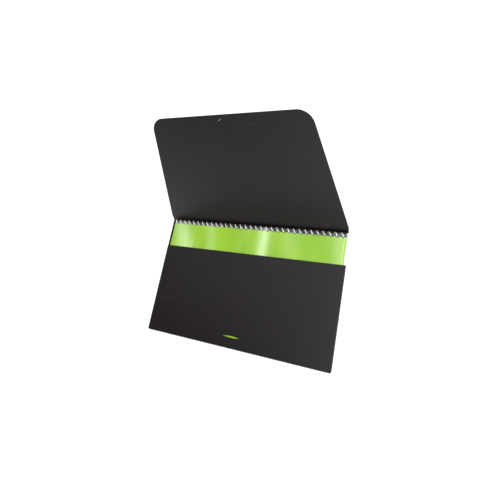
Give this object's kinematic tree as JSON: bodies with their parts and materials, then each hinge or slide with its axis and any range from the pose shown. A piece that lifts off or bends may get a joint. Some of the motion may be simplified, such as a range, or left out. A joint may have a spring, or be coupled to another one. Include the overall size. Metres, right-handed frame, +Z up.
{
  "type": "pocket notebook",
  "caption": "Coil-bound notebook with glossy green covers in a black plastic folder with a front pocket, folding flap and round tuck-in tongue",
  "frame": {"origin": "middle of the back panel's underside, the face that lies on the table", "axes": "+X runs along the spine to the right, +Y from the pocket's bottom fold to the spine, +Z up out of the back panel"},
  "size_m": [0.2188, 0.208, 0.1079],
  "materials": {
    "folder_sheet": "satin",
    "cover_sheet": "gloss",
    "leaf_paper": "matte",
    "coil_wire": "satin"
  },
  "bodies": {
    "folder": {"back_panel": "folder_sheet", "pocket_bottom_fold": "folder_sheet", "pocket_left_wall": "folder_sheet", "pocket_right_wall": "folder_sheet", "pocket_front": "folder_sheet"},
    "strip": {"spine_strip": "folder_sheet"},
    "flap": {"flap": "folder_sheet"},
    "tongue": {"closure_tongue": "folder_sheet"},
    "notebook": {"front_cover": "cover_sheet", "back_cover": "cover_sheet", "coil_binding": "coil_wire", "leaf_01": "leaf_paper", "leaf_02": "leaf_paper", "leaf_03": "leaf_paper", "leaf_04": "leaf_paper", "leaf_05": "leaf_paper", "leaf_06": "leaf_paper", "leaf_07": "leaf_paper", "leaf_08": "leaf_paper", "leaf_09": "leaf_paper", "leaf_10": "leaf_paper", "leaf_11": "leaf_paper", "leaf_12": "leaf_paper", "leaf_13": "leaf_paper", "leaf_14": "leaf_paper"}
  },
  "joints": [
    {"name": "spine_crease", "type": "hinge", "parent": "folder", "child": "strip", "pos_m": [0, 0.06902, 0.00035], "axis": [1, 0, 0], "range_deg": [-57, 33]},
    {"name": "flap_crease", "type": "hinge", "parent": "strip", "child": "flap", "pos_m": [0, 0.07256, 0.0058], "axis": [1, 0, 0], "range_deg": [0, 90]},
    {"name": "tongue_bend", "type": "hinge", "parent": "flap", "child": "tongue", "pos_m": [0, 0.13031, 0.09473], "axis": [1, 0, 0], "range_deg": [-40, 5]},
    {"name": "notebook_slide", "type": "slide", "parent": "folder", "child": "notebook", "axis": [0, 1, 0], "range_m": [-0.002, 0.0003]}
  ]
}
